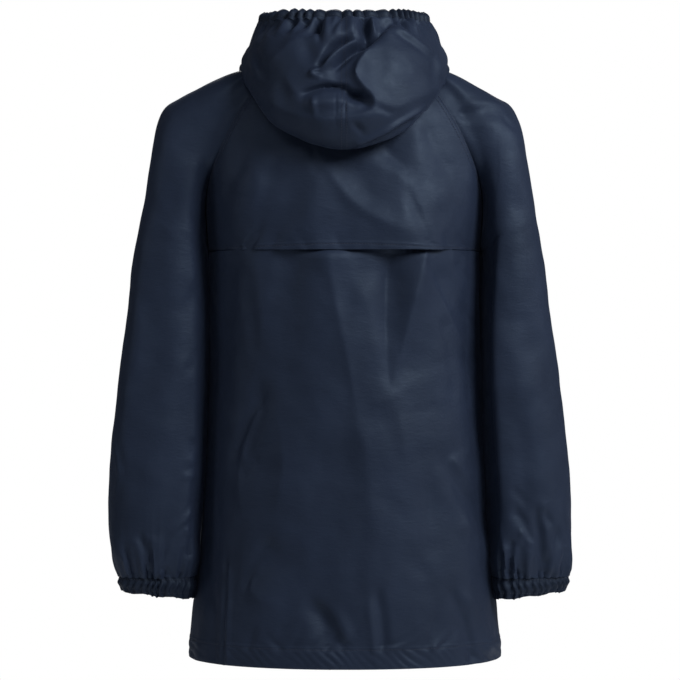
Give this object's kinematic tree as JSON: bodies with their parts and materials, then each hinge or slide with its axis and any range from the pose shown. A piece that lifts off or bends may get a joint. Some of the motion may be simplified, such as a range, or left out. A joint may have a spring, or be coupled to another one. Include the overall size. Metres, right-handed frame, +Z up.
{
  "type": "kids raincoat",
  "caption": "Hooded child's raincoat, worn and hollow: raglan sleeves, gathered hood rim and cuffs, vented back yoke, closed placket.",
  "frame": {"origin": "between the shoulders inside the neck opening, level with where the shoulders carry the coat", "axes": "+Z up, -Y out of the fronts, +Y out of the back, +X towards the wearer's left"},
  "size_m": [0.4895, 0.2749, 0.6753],
  "materials": {
    "shell_nylon": "navy plain-weave nylon with a water-shedding coat, half matt, roughness about 0.42",
    "elastic_casing": "the same navy nylon gathered over elastic, a little darker and more matt"
  },
  "bodies": {
    "root": {"back_yoke": "shell_nylon", "back_panel": "shell_nylon", "front_left": "shell_nylon", "front_right": "shell_nylon", "storm_flap": "shell_nylon", "sleeve_left": "shell_nylon", "sleeve_right": "shell_nylon", "hood_left": "shell_nylon", "hood_right": "shell_nylon", "hood_rim": "elastic_casing", "cuff_left": "elastic_casing", "cuff_right": "elastic_casing"}
  },
  "joints": []
}
